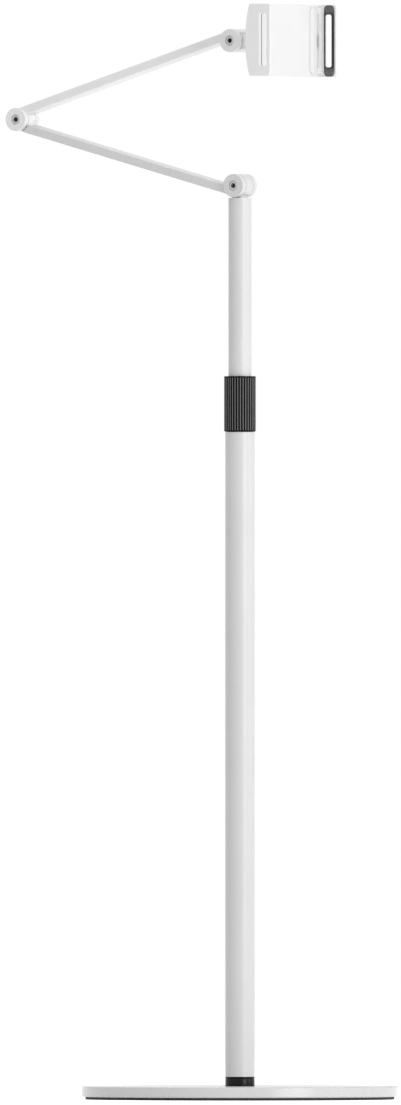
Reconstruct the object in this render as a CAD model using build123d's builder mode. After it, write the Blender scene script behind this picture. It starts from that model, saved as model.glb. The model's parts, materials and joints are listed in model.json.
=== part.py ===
"""Tablet stand for the floor with a folding arm: one solid per physical piece, in millimetres.

The origin is the middle of the foot pad's underside, on the column's axis. Z points up, the arms fold
in the XZ plane, every arm hinge turns about a line along Y, and the holder faces +X.
"""

import os
from math import atan, cos, pi, radians, sin, sqrt, tan

from build123d import *

os.makedirs("parts", exist_ok=True)

# Clearances
FIT = 0.05  # round a piece that is pushed or screwed into another piece of the same body
RUN = 0.08  # radial gap of a turning or sliding fit
FREE = 0.3  # between faces that pass each other
FACE = 0.1  # between flat faces that slide on each other

# Shared by all fasteners
HEX_SIDES = 6
COUNTERSINK_ANGLE = 90.0

# Base and column
PAD_DIAMETER = 293.0
PAD_THICKNESS = 2.5
BASE_DIAMETER = 300.0
BASE_THICKNESS = 10.0
BASE_TOP_ROUND = 0.8
BASE_CHAMFER = 1.0
RING_HEIGHT = 9.0
LOWER_TUBE_DIAMETER = 28.0
LOWER_TUBE_WALL = 1.5
LOWER_TUBE_LENGTH = 611.0
UPPER_TUBE_DIAMETER = 22.0
UPPER_TUBE_WALL = 1.2
UPPER_TUBE_LENGTH = 552.0
SHOULDER_HEIGHT = 866.1  # of the first hinge, with the column set as in the photo

# Bolt that holds the base to the column
BOLT_DIAMETER = 8.0
BOLT_HEAD_DIAMETER = 14.0
BOLT_HEAD_HEIGHT = 4.3
BOLT_REACH = 30.0  # into the plug
BOLT_SOCKET = 5.0
BOLT_SOCKET_DEPTH = 2.6
BOLT_WASHER_DIAMETER = 18.0
BOLT_WASHER_THICKNESS = 1.6
BOLT_RECESS = 0.3  # of the head under the plate's lower face
PLUG_LENGTH = 40.0

# Twist lock
SLEEVE_DEPTH = 32.0  # inside the lower tube
SLEEVE_RISE = 32.5  # above the lower tube
COLLET_HEIGHT = 17.0
COLLET_TAPER = 0.7
COLLET_SLIT = 2.0
COLLAR_LENGTH = 52.7
COLLAR_DIAMETER = 30.0
COLLAR_RIBS = 36
COLLAR_GROOVE_WIDTH = 1.3
COLLAR_GROOVE_DEPTH = 0.7
COLLAR_PLAIN_TOP = 1.0
COLLAR_PLAIN_FOOT = 1.2
COLLAR_FOOT_ROUND = 0.8

# Foot of the upper tube
TUBE_PLUG_DEPTH = 20.0
TUBE_PLUG_FLANGE = 2.0
SPIGOT_DIAMETER = 12.0
GUIDE_LENGTH = 19.0
GUIDE_WASHER_DIAMETER = 18.0
GUIDE_WASHER_THICKNESS = 1.5
GUIDE_SCREW_DIAMETER = 5.0
GUIDE_SCREW_HEAD = 9.0
GUIDE_SCREW_HEAD_HEIGHT = 3.0
GUIDE_SCREW_REACH = 14.0

# Arms
LOWER_ARM_LENGTH = 247.0  # between hinge axes
LOWER_ARM_RISE = 15.0  # degrees above level, towards -X
UPPER_ARM_LENGTH = 246.0  # between hinge axes
UPPER_ARM_RISE = 17.4  # degrees above level, towards +X
BAR_THICKNESS = 8.0
BAR_WIDTH = 20.0
BAR_OFFSET = 6.0  # from the line of the hinges to the middle of the bar
BAR_ROUND = 1.2

# Arm hinges
HINGE_DIAMETER = 22.0
EAR_FACE = 13.3  # from the arm's middle plane to an ear's outer face
EAR_THICKNESS = 6.0
EAR_ROUND = 0.6
WASHER_THICKNESS = 0.6
WASHER_DIAMETER = 20.0
SLOT_GAP = 0.8  # round a knuckle, between the ears
BAR_END_GAP = 2.0  # from an ear's rim to the end of the bar that passes it
SCREW_DIAMETER = 5.0
SCREW_HEAD_DIAMETER = 9.0
SCREW_HEAD_HEIGHT = 2.6
SCREW_RECESS = 0.5  # of heads and nuts under the ear's face
SCREW_SOCKET = 4.5
SCREW_SOCKET_DEPTH = 1.8
NUT_FLATS = 8.0
NUT_HEIGHT = 2.7
BUSH_DIAMETER = 8.0

# Column head
HEAD_FLANGE = 1.0
HEAD_SPIGOT = 25.0
HEAD_NECK = 10.0
HEAD_GAP = 0.5  # from the hinge barrel to the flange

# Neck and swivel
NECK_DIAMETER = 16.0
NECK_ROUND = 0.5
STUD_DIAMETER = 10.0
STUD_DEPTH = 28.0  # inside the neck
STUD_FLANGE_DIAMETER = 16.0
STUD_FLANGE = 1.2
STUD_GROOVE_DEPTH = 1.2
STUD_GROOVE_PLACE = 14.0  # from the neck's end
SWIVEL_WASHER_THICKNESS = 0.6
GRUB_DIAMETER = 4.0
GRUB_SOCKET = 2.0
GRUB_SOCKET_DEPTH = 1.5

# Holder
HOLDER_REACH = 46.2  # from the tilt hinge to the back of the cover
HOLDER_WIDTH = 128.0  # over the closed jaws
HOLDER_HEIGHT = 68.2
HOLDER_DEPTH = 27.0  # from the back of the cover to the front of the jaws
ARCH_RISE = 4.4  # of the cover's curved back
COVER_DEPTH = 7.4
COVER_WALL = 1.7
COVER_BOSS_DIAMETER = 18.0
COVER_BOSS_RISE = 0.3
PLATE_THICKNESS = 1.8
PLATE_CORNER = 1.5
PLATE_NOTCH_HEIGHT = 12.0  # of the openings through which the springs are hooked on
PLATE_NOTCH_DEPTH = 9.0
PLATE_SCREW_DIAMETER = 2.5
PLATE_SCREW_HEAD = 4.6
PLATE_SCREW_REACH = 1.5  # into the cover
PLATE_SCREW_Y = 53.0
PLATE_SCREW_Z = 28.7

# Jaws
JAW_WALL = 2.6
JAW_CORNER = 2.5
JAW_EDGE_ROUND = 0.6
JAW_SLOT_WIDTH = 6.9
JAW_SLOT_HEIGHT = 50.0
JAW_SLOT_FRONT = 4.0  # from the front edge to the slot
JAW_SLOT_CORNER = 2.0
JAW_SLOT_BEVEL = 0.8  # round the slot on the jaw's outer face
TAB_LENGTH = 18.5
TAB_HEIGHT = 62.8
TAB_THICKNESS = 2.3
TAB_CORNER = 3.5
TAB_SLOT_HEIGHT = 52.0
TAB_SLOT_WIDTH = 4.7
TAB_SLOT_ROOT = 4.3  # from the jaw's inner face to the slot
TAB_SLOT_CORNER = 2.0
TAB_RAMP_LENGTH = 4.0  # of the slope at the tab's end
TAB_RAMP_DROP = 1.7
PAD_RING_WIDTH = 10.9
PAD_RING_HEIGHT = 67.7
PAD_RING_THICKNESS = 1.3
PAD_RING_CORNER = 4.0
PAD_RING_BACK = 1.3  # from the front edge of the jaw to the ring
RAIL_THICKNESS = 4.1
RAIL_TOP = 17.0  # from the holder's middle
RAIL_END_GAP = 8.5  # from the end of a rail to the other jaw

# Rack and pinion that joins the jaws
GEAR_MODULE = 1.0
GEAR_TEETH = 16
PRESSURE_ANGLE = 20.0
RACK_ADDENDUM = 0.85
RACK_DEDENDUM = 1.2
PINION_ADDENDUM = 0.95
PINION_DEDENDUM = 1.25
BACKLASH = 0.2  # each side of a tooth
AXLE_DIAMETER = 4.0

# Jaw springs
SPRING_DIAMETER = 2.6
SPRING_WIRE = 0.5
SPRING_TURNS = 20
POST_DIAMETER = 3.0
POST_GAP = 1.0  # from the pinion to the post
HOOK_LENGTH = 2.9
HOOK_HEIGHT = 3.6

# Levels and places that follow from the sizes above
base_top = PAD_THICKNESS + BASE_THICKNESS
ring_top = base_top + RING_HEIGHT
lower_tube_top = ring_top + LOWER_TUBE_LENGTH
lower_bore = LOWER_TUBE_DIAMETER - 2 * LOWER_TUBE_WALL
upper_bore = UPPER_TUBE_DIAMETER - 2 * UPPER_TUBE_WALL
hinge_radius = HINGE_DIAMETER / 2
ear_inner = EAR_FACE - EAR_THICKNESS
knuckle_half = ear_inner - WASHER_THICKNESS
slot_radius = hinge_radius + SLOT_GAP
bar_end_radius = hinge_radius + BAR_END_GAP
flange_top = SHOULDER_HEIGHT - hinge_radius - HEAD_GAP
upper_tube_top = flange_top - HEAD_FLANGE
upper_tube_foot = upper_tube_top - UPPER_TUBE_LENGTH

elbow_x = -LOWER_ARM_LENGTH * cos(radians(LOWER_ARM_RISE))
elbow_z = SHOULDER_HEIGHT + LOWER_ARM_LENGTH * sin(radians(LOWER_ARM_RISE))
tilt_x = elbow_x + UPPER_ARM_LENGTH * cos(radians(UPPER_ARM_RISE))
tilt_z = elbow_z + UPPER_ARM_LENGTH * sin(radians(UPPER_ARM_RISE))
cover_back = tilt_x + HOLDER_REACH


def hinge_plane(x, z, angle):
    """A plane on a hinge axis that faces -Y, with its own X turned up from +X by the angle."""
    turn = radians(angle)
    return Plane(origin=(x, 0, z), x_dir=(cos(turn), 0, sin(turn)), z_dir=(0, -1, 0))


def save(builder, name):
    """Labels a finished piece and writes its file."""
    builder.part.label = name
    export_step(builder.part, f"parts/{name}.step")


column_hinge = hinge_plane(0, SHOULDER_HEIGHT, 0)
shoulder = hinge_plane(0, SHOULDER_HEIGHT, 180 - LOWER_ARM_RISE)
lower_elbow = hinge_plane(elbow_x, elbow_z, 180 - LOWER_ARM_RISE)
elbow = hinge_plane(elbow_x, elbow_z, UPPER_ARM_RISE)
tilt = hinge_plane(tilt_x, tilt_z, UPPER_ARM_RISE)
neck_hinge = hinge_plane(tilt_x, tilt_z, 0)

# Planes of the holder: the near side faces -Y, the far side is the same turned half round the swivel
near_side = hinge_plane(cover_back, tilt_z, 0)
far_side = Plane(origin=(cover_back, 0, tilt_z), x_dir=(1, 0, 0), z_dir=(0, 1, 0))
sides = {"near": near_side, "far": far_side}


def across(side, depth):
    """A plane that faces +X inside the holder, at a depth from its back, as one jaw sees it."""
    origin = side.from_local_coords((depth, 0, 0))
    return Plane(origin=origin, x_dir=-side.z_dir, z_dir=side.x_dir)


# Base

with BuildPart() as foot_pad:
    with BuildSketch(Plane.XY):
        Circle(PAD_DIAMETER / 2)
    extrude(amount=PAD_THICKNESS)
save(foot_pad, "foot_pad")

bolt_seat_depth = BOLT_RECESS + BOLT_HEAD_HEIGHT + BOLT_WASHER_THICKNESS
with BuildPart() as base_plate:
    with BuildSketch(Plane.XY.offset(PAD_THICKNESS)):
        Circle(BASE_DIAMETER / 2)
    extrude(amount=BASE_THICKNESS)
    fillet(base_plate.edges().sort_by(Axis.Z)[-1], BASE_TOP_ROUND)
    chamfer(base_plate.edges().sort_by(Axis.Z)[0], BASE_CHAMFER)
    with BuildSketch(Plane.XY.offset(PAD_THICKNESS)):
        Circle(BOLT_DIAMETER / 2 + FREE)
    extrude(amount=BASE_THICKNESS, mode=Mode.SUBTRACT)
    with BuildSketch(Plane.XY.offset(PAD_THICKNESS)):
        Circle(BOLT_WASHER_DIAMETER / 2 + FREE)
    extrude(amount=bolt_seat_depth, mode=Mode.SUBTRACT)
save(base_plate, "base_plate")

bolt_head_foot = PAD_THICKNESS + BOLT_RECESS
bolt_head_top = bolt_head_foot + BOLT_HEAD_HEIGHT
with BuildPart() as column_bolt:
    with BuildSketch(Plane.XY.offset(bolt_head_foot)):
        Circle(BOLT_HEAD_DIAMETER / 2)
    extrude(amount=BOLT_HEAD_HEIGHT)
    with BuildSketch(Plane.XY.offset(bolt_head_top)):
        Circle(BOLT_DIAMETER / 2)
    extrude(amount=ring_top + BOLT_REACH - bolt_head_top)
    with BuildSketch(Plane.XY.offset(bolt_head_foot)):
        RegularPolygon(BOLT_SOCKET / 2, HEX_SIDES, major_radius=False)
    extrude(amount=BOLT_SOCKET_DEPTH, mode=Mode.SUBTRACT)
save(column_bolt, "column_bolt")

with BuildPart() as bolt_washer:
    with BuildSketch(Plane.XY.offset(bolt_head_top)):
        Circle(BOLT_WASHER_DIAMETER / 2)
        Circle(BOLT_DIAMETER / 2 + FREE, mode=Mode.SUBTRACT)
    extrude(amount=BOLT_WASHER_THICKNESS)
save(bolt_washer, "bolt_washer")

with BuildPart() as foot_ring:
    with BuildSketch(Plane.XY.offset(base_top)):
        Circle(LOWER_TUBE_DIAMETER / 2)
        Circle(BOLT_DIAMETER / 2 + FREE, mode=Mode.SUBTRACT)
    extrude(amount=RING_HEIGHT)
save(foot_ring, "foot_ring")

with BuildPart() as foot_plug:
    with BuildSketch(Plane.XY.offset(ring_top)):
        Circle(lower_bore / 2 - FIT)
        Circle(BOLT_DIAMETER / 2 + FIT, mode=Mode.SUBTRACT)
    extrude(amount=PLUG_LENGTH)
save(foot_plug, "foot_plug")

with BuildPart() as lower_tube:
    with BuildSketch(Plane.XY.offset(ring_top)):
        Circle(LOWER_TUBE_DIAMETER / 2)
        Circle(lower_bore / 2, mode=Mode.SUBTRACT)
    extrude(amount=LOWER_TUBE_LENGTH)
save(lower_tube, "lower_tube")

# Twist lock

sleeve_radius = lower_bore / 2 - FIT
sleeve_top = lower_tube_top + SLEEVE_RISE
with BuildPart() as lock_sleeve:
    with BuildSketch(Plane.XY.offset(lower_tube_top - SLEEVE_DEPTH)):
        Circle(sleeve_radius)
        Circle(UPPER_TUBE_DIAMETER / 2 + FREE, mode=Mode.SUBTRACT)
    extrude(amount=SLEEVE_DEPTH + SLEEVE_RISE)
save(lock_sleeve, "lock_sleeve")

collet_top = sleeve_top + COLLET_HEIGHT
with BuildPart() as collet:
    with BuildSketch(Plane.XZ):
        with BuildLine():
            Polyline(
                (UPPER_TUBE_DIAMETER / 2 + RUN, sleeve_top),
                (sleeve_radius, sleeve_top),
                (sleeve_radius - COLLET_TAPER, collet_top),
                (UPPER_TUBE_DIAMETER / 2 + RUN, collet_top),
                close=True,
            )
        make_face()
    revolve(axis=Axis.Z)
    with BuildSketch(Plane.XY.offset(sleeve_top)):
        Rectangle(sleeve_radius * 2, COLLET_SLIT, align=(Align.MIN, Align.CENTER))
    extrude(amount=COLLET_HEIGHT, mode=Mode.SUBTRACT)
save(collet, "collet")

collar_foot = lower_tube_top + FREE
collar_top = collar_foot + COLLAR_LENGTH
collar_radius = COLLAR_DIAMETER / 2
collar_bore = sleeve_radius + FREE
with BuildPart() as lock_collar:
    with BuildSketch(Plane.XZ):
        with BuildLine():
            Polyline(
                (collar_bore, collar_foot),
                (collar_radius, collar_foot),
                (collar_radius, collar_top),
                (UPPER_TUBE_DIAMETER / 2 + FREE, collar_top),
                (UPPER_TUBE_DIAMETER / 2 + FREE, collet_top + FREE),
                (collar_bore - COLLET_TAPER, collet_top + FREE),
                (collar_bore, sleeve_top),
                close=True,
            )
        make_face()
    revolve(axis=Axis.Z)
    fillet(lock_collar.edges().group_by(Axis.Z)[0].sort_by(SortBy.RADIUS)[-1], COLLAR_FOOT_ROUND)
    with BuildSketch(Plane.XY.offset(collar_foot + COLLAR_PLAIN_FOOT)):
        with PolarLocations(collar_radius, COLLAR_RIBS):
            Rectangle(2 * COLLAR_GROOVE_DEPTH, COLLAR_GROOVE_WIDTH)
    extrude(amount=COLLAR_LENGTH - COLLAR_PLAIN_FOOT - COLLAR_PLAIN_TOP, mode=Mode.SUBTRACT)
save(lock_collar, "lock_collar")

# Upper column

with BuildPart() as upper_tube:
    with BuildSketch(Plane.XY.offset(upper_tube_foot)):
        Circle(UPPER_TUBE_DIAMETER / 2)
        Circle(upper_bore / 2, mode=Mode.SUBTRACT)
    extrude(amount=UPPER_TUBE_LENGTH)
save(upper_tube, "upper_tube")

guide_top = upper_tube_foot - TUBE_PLUG_FLANGE - FACE
guide_foot = guide_top - GUIDE_LENGTH
spigot_foot = guide_foot - FACE
with BuildPart() as tube_plug:
    with BuildSketch(Plane.XY.offset(upper_tube_foot)):
        Circle(upper_bore / 2 - FIT)
    extrude(amount=TUBE_PLUG_DEPTH)
    with BuildSketch(Plane.XY.offset(upper_tube_foot)):
        Circle(UPPER_TUBE_DIAMETER / 2)
    extrude(amount=-TUBE_PLUG_FLANGE)
    with BuildSketch(Plane.XY.offset(spigot_foot)):
        Circle(SPIGOT_DIAMETER / 2)
    extrude(amount=upper_tube_foot - spigot_foot)
    with BuildSketch(Plane.XY.offset(spigot_foot)):
        Circle(GUIDE_SCREW_DIAMETER / 2 + FIT)
    extrude(amount=GUIDE_SCREW_REACH + FREE, mode=Mode.SUBTRACT)
save(tube_plug, "tube_plug")

with BuildPart() as guide_bush:
    with BuildSketch(Plane.XY.offset(guide_foot)):
        Circle(lower_bore / 2 - RUN)
        Circle(SPIGOT_DIAMETER / 2 + RUN, mode=Mode.SUBTRACT)
    extrude(amount=GUIDE_LENGTH)
save(guide_bush, "guide_bush")

guide_washer_foot = spigot_foot - GUIDE_WASHER_THICKNESS
with BuildPart() as bush_washer:
    with BuildSketch(Plane.XY.offset(guide_washer_foot)):
        Circle(GUIDE_WASHER_DIAMETER / 2)
        Circle(GUIDE_SCREW_DIAMETER / 2 + FIT, mode=Mode.SUBTRACT)
    extrude(amount=GUIDE_WASHER_THICKNESS)
save(bush_washer, "bush_washer")

with BuildPart() as bush_screw:
    with BuildSketch(Plane.XY.offset(guide_washer_foot)):
        Circle(GUIDE_SCREW_HEAD / 2)
    extrude(amount=-GUIDE_SCREW_HEAD_HEIGHT)
    with BuildSketch(Plane.XY.offset(guide_washer_foot)):
        Circle(GUIDE_SCREW_DIAMETER / 2)
    extrude(amount=GUIDE_WASHER_THICKNESS + GUIDE_SCREW_REACH)
save(bush_screw, "bush_screw")

with BuildPart() as column_head:
    with BuildSketch(column_hinge):
        Circle(hinge_radius)
    extrude(amount=knuckle_half, both=True)
    with BuildSketch(Plane.XY.offset(upper_tube_top)):
        Rectangle(HEAD_NECK, 2 * knuckle_half)
    extrude(amount=SHOULDER_HEIGHT - upper_tube_top)
    with BuildSketch(Plane.XY.offset(upper_tube_top)):
        Circle(UPPER_TUBE_DIAMETER / 2)
    extrude(amount=HEAD_FLANGE)
    with BuildSketch(Plane.XY.offset(upper_tube_top)):
        Circle(upper_bore / 2 - FIT)
    extrude(amount=-HEAD_SPIGOT)
    with BuildSketch(column_hinge):
        Circle(BUSH_DIAMETER / 2 + FIT)
    extrude(amount=knuckle_half, both=True, mode=Mode.SUBTRACT)
save(column_head, "column_head")

# Arms


def bar_section(hinge):
    """The plane of a bar's cross section at a hinge, with local Y away from the line of the hinges."""
    return Plane(origin=hinge.origin, x_dir=-hinge.z_dir, z_dir=hinge.x_dir)


with BuildPart() as lower_arm:
    with BuildSketch(bar_section(shoulder)):
        with Locations((0, BAR_OFFSET)):
            RectangleRounded(BAR_WIDTH, BAR_THICKNESS, BAR_ROUND)
    extrude(amount=LOWER_ARM_LENGTH)
    with BuildSketch(lower_elbow):
        Circle(bar_end_radius)
    extrude(amount=EAR_FACE, both=True, mode=Mode.SUBTRACT)
    with BuildSketch(lower_elbow):
        Circle(hinge_radius)
        with Locations((-hinge_radius, BAR_OFFSET)):
            Rectangle(2 * hinge_radius, BAR_THICKNESS)
    extrude(amount=knuckle_half, both=True)
    with BuildSketch(shoulder):
        Circle(hinge_radius)
    extrude(amount=EAR_FACE, both=True)
    with BuildSketch(shoulder):
        Circle(slot_radius)
    extrude(amount=ear_inner, both=True, mode=Mode.SUBTRACT)
    rims = lower_arm.edges().filter_by(GeomType.CIRCLE).group_by(Axis.Y)
    fillet(rims[0] + rims[-1], EAR_ROUND)
    with BuildSketch(shoulder):
        Circle(SCREW_DIAMETER / 2 + FIT)
    extrude(amount=EAR_FACE, both=True, mode=Mode.SUBTRACT)
    with BuildSketch(shoulder.offset(EAR_FACE)):
        Circle(SCREW_HEAD_DIAMETER / 2 + FREE)
    extrude(amount=-SCREW_RECESS - SCREW_HEAD_HEIGHT, mode=Mode.SUBTRACT)
    with BuildSketch(shoulder.offset(-EAR_FACE)):
        RegularPolygon(NUT_FLATS / 2 + FIT, HEX_SIDES, major_radius=False)
    extrude(amount=SCREW_RECESS + NUT_HEIGHT, mode=Mode.SUBTRACT)
    with BuildSketch(lower_elbow):
        Circle(BUSH_DIAMETER / 2 + FIT)
    extrude(amount=knuckle_half, both=True, mode=Mode.SUBTRACT)
save(lower_arm, "lower_arm")

with BuildPart() as upper_arm:
    with BuildSketch(bar_section(elbow)):
        with Locations((0, BAR_OFFSET)):
            RectangleRounded(BAR_WIDTH, BAR_THICKNESS, BAR_ROUND)
    extrude(amount=UPPER_ARM_LENGTH)
    for ear in (elbow, tilt):
        with BuildSketch(ear):
            Circle(hinge_radius)
        extrude(amount=EAR_FACE, both=True)
        with BuildSketch(ear):
            Circle(slot_radius)
        extrude(amount=ear_inner, both=True, mode=Mode.SUBTRACT)
    rims = upper_arm.edges().filter_by(GeomType.CIRCLE).group_by(Axis.Y)
    fillet(rims[0] + rims[-1], EAR_ROUND)
    for ear in (elbow, tilt):
        with BuildSketch(ear):
            Circle(SCREW_DIAMETER / 2 + FIT)
        extrude(amount=EAR_FACE, both=True, mode=Mode.SUBTRACT)
        with BuildSketch(ear.offset(EAR_FACE)):
            Circle(SCREW_HEAD_DIAMETER / 2 + FREE)
        extrude(amount=-SCREW_RECESS - SCREW_HEAD_HEIGHT, mode=Mode.SUBTRACT)
        with BuildSketch(ear.offset(-EAR_FACE)):
            RegularPolygon(NUT_FLATS / 2 + FIT, HEX_SIDES, major_radius=False)
        extrude(amount=SCREW_RECESS + NUT_HEIGHT, mode=Mode.SUBTRACT)
save(upper_arm, "upper_arm")

# Hinge hardware, the same at the shoulder, the elbow and the tilt

screw_face = EAR_FACE - SCREW_RECESS
for name, hinge in (("shoulder", shoulder), ("elbow", elbow), ("tilt", tilt)):
    with BuildPart() as screw:
        with BuildSketch(hinge.offset(screw_face)):
            Circle(SCREW_HEAD_DIAMETER / 2)
        extrude(amount=-SCREW_HEAD_HEIGHT)
        with BuildSketch(hinge.offset(-screw_face)):
            Circle(SCREW_DIAMETER / 2)
        extrude(amount=2 * screw_face - SCREW_HEAD_HEIGHT)
        with BuildSketch(hinge.offset(screw_face)):
            RegularPolygon(SCREW_SOCKET / 2, HEX_SIDES, major_radius=False)
        extrude(amount=-SCREW_SOCKET_DEPTH, mode=Mode.SUBTRACT)
    save(screw, f"{name}_screw")

    with BuildPart() as nut:
        with BuildSketch(hinge.offset(-screw_face)):
            RegularPolygon(NUT_FLATS / 2, HEX_SIDES, major_radius=False)
            Circle(SCREW_DIAMETER / 2 + FIT, mode=Mode.SUBTRACT)
        extrude(amount=NUT_HEIGHT)
    save(nut, f"{name}_nut")

    with BuildPart() as washers:
        for face in (knuckle_half, -ear_inner):
            with BuildSketch(hinge.offset(face)):
                Circle(WASHER_DIAMETER / 2)
                Circle(SCREW_DIAMETER / 2 + FIT, mode=Mode.SUBTRACT)
            extrude(amount=WASHER_THICKNESS)
    save(washers, f"{name}_washers")

    with BuildPart() as bush:
        with BuildSketch(hinge.offset(-knuckle_half)):
            Circle(BUSH_DIAMETER / 2)
            Circle(SCREW_DIAMETER / 2 + RUN, mode=Mode.SUBTRACT)
        extrude(amount=2 * knuckle_half)
    save(bush, f"{name}_bush")

# Neck and swivel

boss_face = cover_back - COVER_BOSS_RISE
neck_end = boss_face - SWIVEL_WASHER_THICKNESS
neck_length = neck_end - tilt_x
neck_root = Plane(origin=(tilt_x, 0, tilt_z), x_dir=(0, 1, 0), z_dir=(1, 0, 0))
neck_face = neck_root.offset(neck_length)
grub_x = neck_end - STUD_GROOVE_PLACE
grub_foot = Plane.XY.offset(tilt_z - NECK_DIAMETER / 2)
groove_radius = STUD_DIAMETER / 2 - STUD_GROOVE_DEPTH
with BuildPart() as tilt_neck:
    with BuildSketch(neck_root):
        Circle(NECK_DIAMETER / 2)
    extrude(amount=neck_length)
    fillet(tilt_neck.edges().sort_by(Axis.X)[-1], NECK_ROUND)
    with BuildSketch(neck_hinge):
        Circle(slot_radius)
    extrude(amount=EAR_FACE, both=True, mode=Mode.SUBTRACT)
    with BuildSketch(neck_hinge):
        Circle(hinge_radius)
        Rectangle(slot_radius, NECK_DIAMETER, align=(Align.MIN, Align.CENTER))
    extrude(amount=knuckle_half, both=True)
    with BuildSketch(neck_hinge):
        Circle(BUSH_DIAMETER / 2 + FIT)
    extrude(amount=knuckle_half, both=True, mode=Mode.SUBTRACT)
    with BuildSketch(neck_face):
        Circle(STUD_DIAMETER / 2 + RUN)
    extrude(amount=-STUD_DEPTH - FREE, mode=Mode.SUBTRACT)
    with BuildSketch(grub_foot):
        with Locations((grub_x, 0)):
            Circle(GRUB_DIAMETER / 2 + FIT)
    extrude(amount=NECK_DIAMETER / 2, mode=Mode.SUBTRACT)
save(tilt_neck, "tilt_neck")

with BuildPart() as swivel_grub:
    with BuildSketch(grub_foot):
        with Locations((grub_x, 0)):
            Circle(GRUB_DIAMETER / 2)
    extrude(amount=NECK_DIAMETER / 2 - groove_radius - FREE)
    with BuildSketch(grub_foot):
        with Locations((grub_x, 0)):
            RegularPolygon(GRUB_SOCKET / 2, HEX_SIDES, major_radius=False)
    extrude(amount=GRUB_SOCKET_DEPTH, mode=Mode.SUBTRACT)
save(swivel_grub, "swivel_grub")

with BuildPart() as swivel_washer:
    with BuildSketch(neck_face):
        Circle(NECK_DIAMETER / 2)
        Circle(STUD_DIAMETER / 2 + FIT, mode=Mode.SUBTRACT)
    extrude(amount=SWIVEL_WASHER_THICKNESS)
save(swivel_washer, "swivel_washer")

rail_back = COVER_WALL + STUD_FLANGE + 2 * FACE
rail_front = rail_back + RAIL_THICKNESS
stud_flange_face = neck_root.offset(HOLDER_REACH + COVER_WALL)
with BuildPart() as swivel_stud:
    with BuildSketch(neck_face):
        Circle(STUD_DIAMETER / 2)
    extrude(amount=-STUD_DEPTH)
    with BuildSketch(neck_face):
        Circle(STUD_DIAMETER / 2)
    extrude(amount=HOLDER_REACH + COVER_WALL - neck_length)
    with BuildSketch(neck_face.offset(-STUD_GROOVE_PLACE - GRUB_DIAMETER / 2 - FREE)):
        Circle(STUD_DIAMETER / 2)
        Circle(groove_radius, mode=Mode.SUBTRACT)
    extrude(amount=GRUB_DIAMETER + 2 * FREE, mode=Mode.SUBTRACT)
    with BuildSketch(stud_flange_face):
        Circle(STUD_FLANGE_DIAMETER / 2)
    extrude(amount=STUD_FLANGE)
    with BuildSketch(stud_flange_face):
        Circle(AXLE_DIAMETER / 2)
    extrude(amount=rail_front - COVER_WALL)
save(swivel_stud, "swivel_stud")

# Holder

half_height = HOLDER_HEIGHT / 2
jaw_inner = HOLDER_WIDTH / 2 - JAW_WALL
housing_half = jaw_inner - FREE
channel_back = rail_back - FACE
hook_channel = HOOK_HEIGHT / 2 + FREE
gear_radius = GEAR_MODULE * GEAR_TEETH / 2
post_y = gear_radius + PINION_ADDENDUM * GEAR_MODULE + POST_GAP + POST_DIAMETER / 2
spring_depth = COVER_WALL + FREE + SPRING_DIAMETER / 2
screw_places = [
    (y, z) for y in (-PLATE_SCREW_Y, PLATE_SCREW_Y) for z in (-PLATE_SCREW_Z, PLATE_SCREW_Z)
]
cover_front = across(near_side, COVER_DEPTH)
plate_face = across(near_side, COVER_DEPTH + PLATE_THICKNESS)

with BuildPart() as back_cover:
    with BuildSketch(near_side):
        with BuildLine():
            ThreePointArc((ARCH_RISE, -half_height), (0, 0), (ARCH_RISE, half_height))
            Polyline(
                (ARCH_RISE, half_height),
                (COVER_DEPTH, half_height),
                (COVER_DEPTH, -half_height),
                (ARCH_RISE, -half_height),
            )
        make_face()
    extrude(amount=housing_half, both=True)
    with BuildSketch(across(near_side, -COVER_BOSS_RISE)):
        Circle(COVER_BOSS_DIAMETER / 2)
    extrude(amount=COVER_BOSS_RISE + COVER_WALL)
    with BuildSketch(across(near_side, channel_back)):
        Rectangle(2 * housing_half, 2 * (RAIL_TOP + FREE))
    extrude(amount=COVER_DEPTH - channel_back, mode=Mode.SUBTRACT)
    with BuildSketch(across(near_side, COVER_WALL)):
        Rectangle(2 * housing_half, 2 * hook_channel)
        Circle(STUD_FLANGE_DIAMETER / 2 + FREE)
    extrude(amount=channel_back - COVER_WALL, mode=Mode.SUBTRACT)
    with BuildSketch(across(near_side, -COVER_BOSS_RISE)):
        Circle(STUD_DIAMETER / 2 + FIT)
    extrude(amount=COVER_BOSS_RISE + COVER_WALL, mode=Mode.SUBTRACT)
    with BuildSketch(across(near_side, COVER_WALL)):
        with Locations((-post_y, 0), (post_y, 0)):
            Circle(POST_DIAMETER / 2)
    extrude(amount=COVER_DEPTH - COVER_WALL - FACE)
    with BuildSketch(cover_front):
        with Locations(*screw_places):
            Circle(PLATE_SCREW_DIAMETER / 2 + FIT)
    extrude(amount=-PLATE_SCREW_REACH - FIT, mode=Mode.SUBTRACT)
save(back_cover, "back_cover")

with BuildPart() as front_plate:
    with BuildSketch(cover_front):
        RectangleRounded(2 * housing_half, HOLDER_HEIGHT, PLATE_CORNER)
        with Locations((-housing_half, 0), (housing_half, 0)):
            Rectangle(2 * PLATE_NOTCH_DEPTH, PLATE_NOTCH_HEIGHT, mode=Mode.SUBTRACT)
    extrude(amount=PLATE_THICKNESS)
    with Locations(plate_face):
        with Locations(*screw_places):
            CounterSinkHole(
                PLATE_SCREW_DIAMETER / 2 + FIT,
                PLATE_SCREW_HEAD / 2 + FIT,
                counter_sink_angle=COUNTERSINK_ANGLE,
            )
save(front_plate, "front_plate")

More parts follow.
